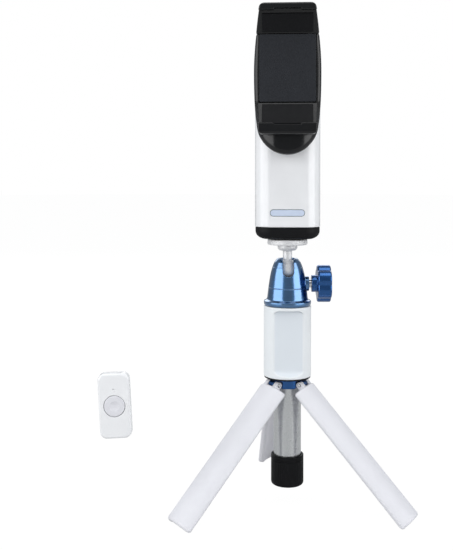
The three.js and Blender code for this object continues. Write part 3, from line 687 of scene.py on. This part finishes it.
def end_cap():
    """A push-on cap with a fine grip of upright ribs under a plain rim."""
    lo, hi = corners("end_cap")
    r, top = hi.x, hi.z
    ribs, depth = 48, 0.16
    rib_bottom, rib_top = lo.z + 2.6, top - 4.2
    groove = top - 3.2
    profile = rounded(
        [(0, lo.z), (r, lo.z, 2.0), (r, rib_bottom), (r, rib_bottom + 0.5), (r, rib_top - 0.5), (r, rib_top),
         (r, groove - 0.3, 0.1), (r - 0.3, groove - 0.1, 0.08), (r - 0.3, groove + 0.1, 0.08),
         (r, groove + 0.3, 0.1), (r, top, 0.5), (TUBE_ROOM, top, 0.3), (TUBE_ROOM, 2.0), (0, 2.0)],
        4,
        False,
    )

    def ribbed(reach, z, angle):
        if reach < r - 0.01 or not rib_bottom + 0.2 < z < rib_top - 0.2:
            return reach
        return reach - depth * (0.5 - 0.5 * math.cos(ribs * angle)) ** 2

    angles = [2 * math.pi * k / (8 * ribs) for k in range(8 * ribs)]
    show(turned("end_cap", profile, False, angles, ribbed), "end_cap", 50)


def leg_hub():
    """The ring that the legs hinge on: a tongue for each leg, with a pocket on either side of it."""
    lo, hi = corners("leg_hub")

    def distance(p):
        x, y, z = p
        r = np.hypot(x, y)
        body = meet_round(r - HUB_R, between(z, lo.z, hi.z), 0.5)
        for azimuth in LEG_AZIMUTHS.values():
            c, s = math.cos(azimuth), math.sin(azimuth)
            out, side = x * c + y * s, y * c - x * s
            pivot = np.hypot(np.maximum(out - PIVOT_R, 0), z - PIVOT_Z) - TONGUE_R
            tongue = meet_round(np.maximum(pivot, 10.4 - out), np.abs(side) - 2.5, 0.3)
            top = PIVOT_Z + TONGUE_R
            pocket = box_distance((out, np.abs(side), z), (8.9, 2.5, lo.z - 2), (20, 7.1, top), 0.2)
            pin = np.maximum(np.hypot(out - PIVOT_R, z - PIVOT_Z) - PIN_ROOM, np.abs(side) - 9)
            pin = np.maximum(pin, 5 - out)
            body = cut_round(cut_round(join_round(body, tongue, 0.3), pocket, 0.2), pin, 0.1)
        return cut_round(body, r - TUBE_ROOM, 0.2)

    reach = PIVOT_R + TONGUE_R
    show(solid("leg_hub", distance, (-reach, -reach, lo.z), (reach, reach, hi.z), 0.32), "leg_hub")


def collar():
    """The white grip round the top of the tube, with a flat-floored dock that has a sloped lower end."""
    lo, hi = corners("collar")
    r_out = hi.x
    floor_y, dock_low, dock_high, half, corner_r = -12.3, lo.z + 1.7, hi.z - 2, 10.8, 5.3

    def distance(p):
        x, y, z = p
        ring = meet_round(np.hypot(x, y) - r_out, between(z, lo.z, hi.z), 0.6)
        upper = meet_round(np.abs(x) - half, z - dock_high, corner_r)
        outline = meet_round(upper, dock_low - z, 0.6)
        slope = ((y + 15.6) * 2.4 - (z - dock_low) * 3.3) / 4.08
        dock = meet_round(outline, meet_round(y - floor_y, slope, 1.2), 0.5)
        return cut_round(cut_round(ring, dock, 0.35), np.hypot(x, y) - TUBE_ROOM, 0.2)

    show(solid("collar", distance, (-r_out, -r_out, lo.z), (r_out, r_out, hi.z), 0.42), "collar")
    low, high = corners("collar_ring")
    show(sleeve("collar_ring", high.x, TUBE_ROOM, low.z, high.z), "collar_ring")


def legs():
    """Three equal legs: a third of a round shell each, with two hinge cheeks and a flat cut to the floor."""
    half_angle, shell_middle, shell_half = math.radians(59), 13.75, 2.25
    side_c, side_s = math.cos(half_angle), math.sin(half_angle)
    up_x, up_z = math.sin(SPREAD), math.cos(SPREAD)
    drop = PIVOT_Z - corners("leg_rear")[0].z

    def distance(p):
        x, y, z = p
        out = x + PIVOT_R
        ring = np.abs(np.hypot(out, y) - shell_middle) - shell_half
        shell = meet_round(ring, np.abs(y) * side_c - out * side_s, 1.7)
        shell = meet_round(shell, np.abs(z + 56.05) - 53.15, 1.5)
        knuckle = np.maximum(np.hypot(x, np.maximum(z, 0)) - 2.1, -7 - z)
        cheeks = meet_round(knuckle, np.abs(np.abs(y) - 4.8) - 2, 0.3)
        body = join_round(shell, cheeks, 0.5)
        body = meet_round(body, -drop - (x * up_x + z * up_z), 0.5)
        tongue_room = np.maximum(np.hypot(x, z) - 3, np.abs(y) - 2.8)
        pin_hole = np.maximum(np.hypot(x, z) - PIN_ROOM, np.abs(y) - 9)
        return cut_round(cut_round(body, tongue_room, 0.2), pin_hole, 0.1)

    leg = solid("leg", distance, (-8, -13.8, -109.2), (4.6, 13.8, 2.2), 0.5)
    for name, azimuth in LEG_AZIMUTHS.items():
        bearing = Matrix.Rotation(azimuth, 4, "Z")
        opened = Matrix.Rotation(-SPREAD, 4, "Y")
        stand = bearing @ Matrix.Translation((PIVOT_R, 0, PIVOT_Z)) @ opened
        copy = bpy.data.objects.new("leg", leg.data.copy())
        scene.collection.objects.link(copy)
        show(moved(copy, stand), "leg_" + name)
        pin = moved(rod(0.9, -6.8, 6.8, 0.2), stand @ ALONG_Y)
        show(pin, "leg_pin_" + name)
    bpy.data.objects.remove(leg)


# ---- Ball head, drawn from its underside at the top of the collar ----
def ball_housing():
    """A flared foot, a long taper to a rounded shoulder, a notch for the stem, and the knob's boss."""
    lo, hi = corners("ball_housing")
    top = 31.4
    profile = rounded(
        [(-20, 0), (15.6, 0, 0.5), (16, 1.2, 0.6), (16, 2.8, 0.6), (14.0, 3.9, 0.7), (13.7, 5.2, 1.5),
         (12.95, 11.5), (12.75, 11.65), (12.75, 11.9), (12.9, 12.05), (12.2, 16.5), (11.4, 21.2),
         (10.25, 25.6), (10.0, 25.7), (9.95, 25.95), (10.05, 26.15), (8.7, 29.2, 3), (6.9, top, 0.7),
         (-20, top)],
        4,
    )

    def distance(p):
        x, y, z = p
        r = np.hypot(x, y)
        body = outline_distance(r, z, profile)
        axis = np.hypot(y, z - KNOB_Z)
        body = join_round(body, meet_round(axis - 5, np.abs(x - 11.25) - 3.25, 0.4), 0.6)
        from_ball = np.sqrt(r**2 + (z - BALL_Z) ** 2)
        room = np.minimum(from_ball - 8.1, np.maximum(r - 7.8, np.abs(z - 16.9) - 6.5))
        room = np.minimum(room, np.maximum(r - 5.5, BALL_Z - z))
        room = np.minimum(room, np.maximum(r - 2.8, z - 11))
        room = np.minimum(room, np.maximum(axis - 3, -x))
        across = np.where(z > BALL_Z, np.abs(x), np.hypot(x, z - BALL_Z)) - 3.6
        return cut_round(cut_round(body, room, 0.3), np.maximum(across, y), 0.3)

    r = hi.y
    piece = solid("ball_housing", distance, (-r, -r, 0), (r, r, top), 0.34)
    show(moved(piece, lift(lo.z)), "ball_housing")


def clamp_knob():
    """Six rounded lobes round a dished face, on a hub that faces the housing."""
    lo, hi = corners("clamp_knob")

    def distance(p):
        x, y, z = p
        r, angle = np.hypot(y, z), np.arctan2(y, z)
        lobes = 11 + 1.5 * np.sqrt(0.5 + 0.5 * np.cos(6 * angle))
        dish = 0.9 * np.clip(1 - (r / 8.6) ** 2, 0, 1) ** 0.8
        head = meet_round(meet_round(r - lobes, x - hi.x + dish, 1.1), 19.9 - x, 1.1)
        hub = meet_round(r - 5.7, np.abs(x - 18.7) - 2.5, 0.35)
        return cut_round(join_round(head, hub, 0.5), np.maximum(r - 3, x - 25), 0.1)

    piece = solid("clamp_knob", distance, (lo.x, -12.6, -12.6), (hi.x, 12.6, 12.6), 0.36)
    show(moved(piece, lift(HEAD_Z + KNOB_Z)), "clamp_knob")
    screw = [(0, 6.7), (1.2, 6.7, 0.2), (1.2, 8), (2.7, 8, 0.4), (2.7, 24.6, 0.4), (0, 24.6)]
    show_turned("knob_screw", screw, lift(HEAD_Z + KNOB_Z) @ ALONG_X)


def ball_and_stem():
    """The steel ball, its neck and the platform under the lock wheel."""
    r, rows = 7.5, np.linspace(0, math.radians(155.6), 40)
    ball = [(r * math.sin(a), BALL_Z - r * math.cos(a)) for a in rows]
    neck = rounded(
        [ball[-1], (3.1, 36.9, 0.8), (5.5, 36.9, 0.6), (6.7, 38.5, 0.8), (6.7, 40.5, 0.35), (2.8, 40.5, 0.2),
         (2.8, 32), (0, 32)],
        5,
        False,
    )
    show(moved(turned("ball_stem", ball + neck[1:]), lift(HEAD_Z)), "ball_stem")
    show(moved(rod(2.5, 32.6, 56, 0.4), lift(HEAD_Z)), "top_screw")
    show(moved(rod(2.5, -10, 8.4, 0.4), lift(HEAD_Z)), "pole_stud")


def lock_wheel():
    """A thin disc with a finely knurled edge."""
    lo, hi = corners("lock_wheel")
    r, ribs = 13.5, 90
    profile = rounded(
        [(2.8, lo.z), (r - 0.3, lo.z, 0.3), (r, lo.z + 0.7, 0.3), (r, hi.z - 0.7, 0.3), (r - 0.3, hi.z, 0.3),
         (2.8, hi.z)],
        3,
    )

    def knurled(reach, z, angle):
        if reach < r - 0.02:
            return reach
        return reach - 0.07 * (0.5 + 0.5 * math.cos(ribs * angle))

    angles = [2 * math.pi * k / (6 * ribs) for k in range(6 * ribs)]
    show(turned("lock_wheel", profile, True, angles, knurled), "lock_wheel", 50)


# ---- Stabiliser body, drawn from its underside ----
def body_distance(p):
    """The whole body: upright sides, a round top about the roll axis, and wide soft edges."""
    x, y, z = p
    across = np.where(z < ROLL_Z, np.abs(x), np.hypot(x, z - ROLL_Z)) - (BODY_HALF - BODY_EDGE)
    deep = np.abs(y) - (BODY_DEEP - BODY_EDGE)
    outside = np.hypot(np.maximum(across, 0), np.maximum(deep, 0))
    return outside + np.minimum(np.maximum(across, deep), 0) - BODY_EDGE


def shells():
    """Two thin shells that meet at a fine seam, with openings for the fittings and the motor."""
    low = 8.0

    def wall(p):
        body = body_distance(p)
        return meet_round(meet_round(body, -(body + 2), 0.2), low - p[2], 0.3)

    def front(p):
        x, y, z = p
        shell = meet_round(wall(p), y + GAP / 2, 0.35)
        shell = cut_round(shell, np.maximum(flat_pill(x, z - WINDOW_Z, 11.5, 2.3, 2.2), y), 0.25)
        return cut_round(shell, np.maximum(np.hypot(x, z - ROLL_Z) - 9.6, y), 0.4)

    def rear(p):
        x, y, z = p
        shell = meet_round(wall(p), GAP / 2 - y, 0.35)
        shell = cut_round(shell, np.maximum(np.hypot(x, z - KEY_Z) - 5.3, -y), 0.4)
        shell = cut_round(shell, np.maximum(flat_pill(x, z - SOCKET_Z, 4.8, 1.9, 1.8), -y), 0.25)
        return cut_round(shell, np.maximum(np.hypot(np.abs(x) - SCREW_X, z - SCREW_Z) - 1.8, -y), 0.3)

    top = ROLL_Z + BODY_HALF
    halves = (("front_shell", front, -BODY_DEEP, 0), ("rear_shell", rear, 0, BODY_DEEP))
    for name, distance, near, far in halves:
        piece = solid(name, distance, (-BODY_HALF, near, low), (BODY_HALF, far, top), 0.5)
        show(moved(piece, lift(BODY_Z)), name)


def bottom_cap():
    """The black bowl under the shells."""
    high, curve = 7.7, 5.2

    def distance(p):
        x, y, z = p
        rest = 1 - np.sqrt(1 - np.clip((curve - z) / curve, 0, 1) ** 2 * 0.995)
        sides = np.abs(x) - BODY_HALF + 8 * rest
        footprint = flat_pill(x, y, BODY_HALF, BODY_DEEP, BODY_EDGE) + 3.5 * rest
        bowl = meet_round(meet_round(sides, footprint, 1), between(z, 0, high), 0.25)
        return cut_round(bowl, np.hypot(x, y) - 5.3, 0.2)

    piece = solid("bottom_cap", distance, (-BODY_HALF, -BODY_DEEP, 0), (BODY_HALF, BODY_DEEP, high), 0.42)
    show(moved(piece, lift(BODY_Z)), "bottom_cap")


def body_fittings():
    """Window, power key, screws, insert and the motor's turning half."""
    def window(d):
        return rounded_rectangle(11.2 - d, 2.0 - d, 1.9 - d)

    at = lift(BODY_Z)
    show(moved(slab("light_window", -16.9, -14.6, 0.3, window), at @ lift(WINDOW_Z)), "light_window")
    key = [(0, 12), (5, 12, 0.1), (5, 17.6, 0.8), (3.6, 18, 1), (1.5, 17.6), (0, 17.5)]
    show_turned("power_button", key, at @ lift(KEY_Z) @ ALONG_Y, 4)
    screw = [
        (0, 4), (0.8, 4, 0.1), (0.8, 14.6), (1.5, 14.6, 0.1), (1.5, 16.4, 0.3), (0.7, 16.4, 0.1),
        (0.7, 15.7), (0, 15.7),
    ]
    for name, side in SIDES:
        put = at @ Matrix.Translation((side * SCREW_X, 0, SCREW_Z)) @ ALONG_Y
        show_turned("shell_screw_" + name, screw, put)
    show(moved(sleeve("threaded_insert", 5, 2.8, 0.6, 10, 0.3), at), "threaded_insert")
    rotor = [
        (0, -17.9), (9, -17.9, 0.4), (9, -14.4), (12, -14.4, 0.4), (12, -11.8, 0.4), (2.4, -11.8),
        (2.4, 4, 0.3), (0, 4),
    ]
    show_turned("motor_rotor", rotor, at @ lift(ROLL_Z) @ ALONG_Y, 4)


# ---- Phone clamp, drawn about its roll axis ----
CLAMP_AT = lift(BODY_Z + ROLL_Z)


def barrel(z):
    """Half the clamp's width: widest near the middle and drawn in to both ends."""
    widest = 4
    return 21.8 - np.where(z > widest, 0.0024, 0.0011) * (z - widest) ** 2


def clamp_carrier():
    """The barrel behind the phone: softly rounded beside the pad and round as a bowl underneath."""
    front, back, top = -28.4, -18.2, 28.4
    bowl_z, bowl_high = -26.2, 23

    def distance(p):
        x, y, z = p
        width = barrel(np.maximum(z, bowl_z))
        bowl = (np.hypot(x / width, np.minimum(z - bowl_z, 0) / bowl_high) - 1) * width
        share = np.clip((-14 - z) / 16, 0, 1)
        blend = share * share * (3 - 2 * share)
        crown = np.maximum(np.abs(x) - 5.5, 0) ** 2 / 29 * blend
        body = meet_round(meet_round(bowl, crown + front - y, 3.0), y - back, 1.4)
        body = meet_round(body, z - top, 0.5)
        recess = box_distance((x, y, z), (-18.6, -40, -15.8), (18.6, -26.8, 60), 0.3)
        track = box_distance((x, y, z), (-13.2, -25.2, -36), (13.2, -20.4, 60), 0.3)
        return cut_round(cut_round(body, recess, 0.25), track, 0.25)

    low, high = (-21.8, front, bowl_z - bowl_high), (21.8, back, top)
    piece = solid("clamp_carrier", distance, low, high, 0.42)
    show(moved(piece, CLAMP_AT), "clamp_carrier")


def jaw_section(root, top, lip, back=()):
    """A jaw's section in Y and Z, for the jaw above the phone: a sloped grip face that ends in a lip."""
    return rounded(
        [(-28.7, root), (-38.6, top - 3.4, 1.2), (-40.4, top - 3.2, 0.6), (-41.6, top - lip, 0.4),
         (-44, top - lip, 0.9), (-44, top, 2.0), *(back or [(-28.7, top)])],
        5,
    )


def lip_notch(x, y, z, top, lip):
    """The shallow notch in the middle of a lip."""
    return box_distance((x, y, z), (-8.6, -46, top - lip - 2), (8.6, -40.6, top - lip + 1.3), 0.3)


def upper_jaw():
    """The sprung jaw: sloped face and lip, a bridge over the carrier, and a tongue that runs in its track."""
    root, top, lip = 28.7, 46.4, 5.2
    section = jaw_section(root, top, lip, [(-18.2, top, 3.0), (-18.2, root, 0.4)])

    def distance(p):
        x, y, z = p
        across = meet_round(np.abs(x) - barrel(z), z - top, 3.2)
        head = meet_round(across, outline_distance(y, z, section), 0.9)
        head = cut_round(head, lip_notch(x, y, z, top, lip), 0.3)
        tongue = box_distance(p, (-12.7, -24.7, -15.3), (12.7, -20.9, 32.7), 0.3)
        pocket = box_distance((np.abs(x), y, z), (6, -27, -11.3), (18, -18, 28.3), 0.2)
        bore = np.maximum(np.hypot(np.abs(x) - ROD_X, y - ROD_Y) - 1.5, z + 10)
        return cut_round(join_round(head, cut_round(tongue, pocket, 0.2), 0.2), bore, 0.1)

    piece = solid("upper_jaw", distance, (-21, -44, -15.3), (21, -18.2, top), 0.42)
    show(moved(piece, CLAMP_AT), "upper_jaw")


def lower_jaw():
    """The fixed jaw: its section is the one above the phone, upside down."""
    root, top, lip = 15.5, 36.8, 7.6
    section = jaw_section(root, top, lip)

    def distance(p):
        x, y, z = p[0], p[1], -p[2]
        across = meet_round(np.abs(x) - (18.6 + (top - z) * 0.047), z - top, 3.6)
        head = meet_round(across, outline_distance(y, z, section), 0.9)
        return cut_round(head, lip_notch(x, y, z, top, lip), 0.3)

    piece = solid("lower_jaw", distance, (-19.6, -44, -top), (19.6, -28.7, -root), 0.4)
    show(moved(piece, CLAMP_AT), "lower_jaw")


def pads():
    """Rubber on the carrier's front and on both sloped grip faces."""
    def outline(d):
        return [(x, z + 6.6) for x, z in rounded_rectangle(18.3 - d, 21.8 - d, 1.2)]

    show(moved(slab("back_pad", -28.5, -27.1, 0.4, outline), CLAMP_AT), "back_pad")
    half_width = 16.5
    for node, root, top, side in (("upper_jaw_pad", 28.7, 46.4, 1), ("lower_jaw_pad", 15.5, 36.8, -1)):
        rise = (top - root - 3.4) / -10.2
        near, far = -29.8, -37.2
        low, high = (root + (y + 28.4) * rise for y in (near, far))
        section = [(near, low - 0.5), (near, low - 1.5), (far, high - 1.5), (far, high - 0.5)]

        def distance(p, section=section, side=side):
            x, y, z = p
            return meet_round(outline_distance(y, side * z, section), np.abs(x) - half_width, 0.4)

        span = sorted((side * (low - 1.5), side * high))
        piece = solid(node, distance, (-half_width, far, span[0]), (half_width, near, span[1]), 0.34)
        show(moved(piece, CLAMP_AT), node)


def guide_rods():
    """Two thin rods with heads, which the sliding jaw runs on."""
    profile = [(0, -35.7), (1.2, -35.7, 0.2), (1.2, 26.6), (2.1, 26.6, 0.1), (2.1, 27.6, 0.3), (0, 27.6)]
    for name, side in SIDES:
        show_turned("guide_rod_" + name, profile, CLAMP_AT @ Matrix.Translation((side * ROD_X, ROD_Y, 0)))


def springs():
    """Wire coils round the guide rods."""
    turns, steps_per_turn, coil_r, wire_r, low, high = 6, 20, 1.95, 0.3, -10.7, 26.0
    steps = turns * steps_per_turn
    ring = [2 * math.pi * k / 10 for k in range(10)]
    for name, side in SIDES:
        x, loops = side * ROD_X, []
        for step in range(steps + 1):
            angle = 2 * math.pi * step / steps_per_turn
            rise = low + (high - low) * step / steps
            out = Vector((math.cos(angle), math.sin(angle), 0))
            middle = out * coil_r + Vector((x, ROD_Y, rise))
            loops.append([middle + wire_r * (out * math.cos(a) + Vector((0, 0, math.sin(a)))) for a in ring])
        piece = show(moved(loft("spring", loops), CLAMP_AT), "spring_" + name)
        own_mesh(piece)


# ---- Remote control, drawn about its centre ----
REMOTE_AT, REMOTE_LEAN = (-110, -56, 68), math.radians(-3)
REMOTE_X, REMOTE_Y, REMOTE_Z = 9.75, 4, 20  # half its width, depth and height


def remote():
    """Two thin shells with a seam, and a round key in a ring-shaped recess."""
    put = Matrix.Translation(REMOTE_AT) @ Matrix.Rotation(REMOTE_LEAN, 4, "Y")
    wall = 1.2

    def shell(p):
        x, y, z = p
        outside = meet_round(flat_pill(x, z, REMOTE_X, REMOTE_Z, 4.3), np.abs(y) - REMOTE_Y, 1.5)
        room = flat_pill(x, z, REMOTE_X - wall, REMOTE_Z - wall, 4.3 - wall)
        return cut_round(outside, np.maximum(room, np.abs(y) - REMOTE_Y + wall), 0.2)

    def front(p):
        x, y, z = p
        half = meet_round(shell(p), y - 0.45, 0.3)
        half = cut_round(half, np.maximum(np.hypot(x, z) - 6.64, y), 0.25)
        return cut_round(half, np.maximum(np.hypot(x, z - 10.2) - 0.6, y + 3.5), 0.15)

    def rear(p):
        return meet_round(shell(p), 0.75 - p[1], 0.3)

    halves = (("remote_front", front, -REMOTE_Y, 0.5), ("remote_back", rear, 0.7, REMOTE_Y))
    for name, distance, near, far in halves:
        piece = solid(name, distance, (-REMOTE_X, near, -REMOTE_Z), (REMOTE_X, far, REMOTE_Z), 0.3)
        show(moved(piece, put), name)
    key = [
        (0, -3.95), (2.6, -3.95), (3.1, -4.2, 0.3), (6.0, -4.2, 0.3), (6.4, -3.8, 0.3), (6.4, -2.2),
        (0, -2.2),
    ]
    show_turned("remote_button", key, put @ ALONG_Y, 4)


def inner_pieces():
    """Pieces that stay inside keep their CAD shape, with their own material."""
    shown = {obj.name for obj in bpy.data.objects if obj.name.endswith("_shape")}
    for node, obj in frame["nodes"].items():
        if node + "_shape" in shown:
            continue
        obj.data.materials.clear()
        obj.data.materials.append(MATERIALS[slot_of[node]])


# ---- Room, lights and camera ----
def floor():
    """A wide pale disc: nearly white to the camera, and pale grey in reflections and as a light."""
    disc = turned("floor", [(0, 0), (9000, 0)])
    disc.data.transform(lift(cad_box[0][2]) @ Matrix.Scale(MM, 4))
    pale = new_material("floor", (0.55, 0.55, 0.55), Roughness=0.8)
    tree = pale.node_tree
    glow = add(pale, "ShaderNodeEmission", {"Strength": 1.06}).outputs[0]
    seen = add(pale, "ShaderNodeLightPath").outputs["Is Camera Ray"]
    share = add(pale, "ShaderNodeMath", {0: seen, 1: 0.92}, operation="MULTIPLY").outputs[0]
    shade = tree.nodes["Principled BSDF"].outputs[0]
    both = add(pale, "ShaderNodeMixShader", {0: share, 1: shade, 2: glow}).outputs[0]
    tree.links.new(both, tree.nodes["Material Output"].inputs["Surface"])
    disc.data.materials.append(pale)


def studio():
    """A white backdrop for the camera, and a dim cool one for everything else."""
    world = bpy.data.worlds.new("studio")
    scene.world = world
    world.use_nodes = True
    world.node_tree.nodes.clear()
    white = add(world, "ShaderNodeBackground", {"Color": (1, 1, 1, 1)}).outputs[0]
    dim = add(world, "ShaderNodeBackground", {"Color": (0.9, 0.95, 1.0, 1), "Strength": 0.33}).outputs[0]
    seen = add(world, "ShaderNodeLightPath").outputs["Is Camera Ray"]
    both = add(world, "ShaderNodeMixShader", {0: seen, 1: dim, 2: white}).outputs[0]
    add(world, "ShaderNodeOutputWorld", {0: both})


def panel(name, azimuth, height, distance, size, radiance):
    """A soft rectangular light at a bearing from the front (degrees, right positive), facing the object."""
    turn, aim = math.radians(azimuth), Vector((0, 0, 0.16))
    light = bpy.data.lights.new(name, "AREA")
    light.shape = "RECTANGLE"
    light.size, light.size_y = size
    light.energy = radiance * math.pi * size[0] * size[1]
    made = bpy.data.objects.new(name, light)
    made.location = (distance * math.sin(turn), -distance * math.cos(turn), height)
    made.rotation_euler = (aim - made.location).to_track_quat("-Z", "Y").to_euler()
    made.visible_camera = False
    scene.collection.objects.link(made)


def lights():
    panel("left_softbox", azimuth=-62, height=0.45, distance=1.5, size=(1.7, 1.5), radiance=2.5)
    panel("right_softbox", azimuth=60, height=0.45, distance=1.5, size=(1.3, 1.5), radiance=2.7)
    panel("top_softbox", azimuth=0, height=1.6, distance=0.3, size=(1.4, 1.0), radiance=2.0)
    panel("rear_softbox", azimuth=180, height=0.9, distance=1.6, size=(2.0, 0.8), radiance=1.8)


def camera():
    """Close in front, a little above the remote, looking nearly level with a lowered frame."""
    lens = bpy.data.cameras.new("camera")
    lens.sensor_width = 36
    lens.lens = 58.9
    lens.shift_y = -0.1565
    made = bpy.data.objects.new("camera", lens)
    looking_down = math.radians(1)
    tilt = Matrix.Rotation(math.pi / 2 - looking_down, 4, "X")
    made.matrix_world = Matrix.Translation((-0.0413, -0.6087, 0.2108)) @ tilt
    scene.collection.objects.link(made)
    scene.camera = made
    scene.view_settings.view_transform = "Standard"


for make in (
    straight_tubes, end_cap, leg_hub, collar, legs, ball_housing, clamp_knob, ball_and_stem, lock_wheel,
    shells, bottom_cap, body_fittings, clamp_carrier, upper_jaw, lower_jaw, pads, guide_rods, springs,
    remote, inner_pieces, floor, studio, lights, camera,
):
    make()
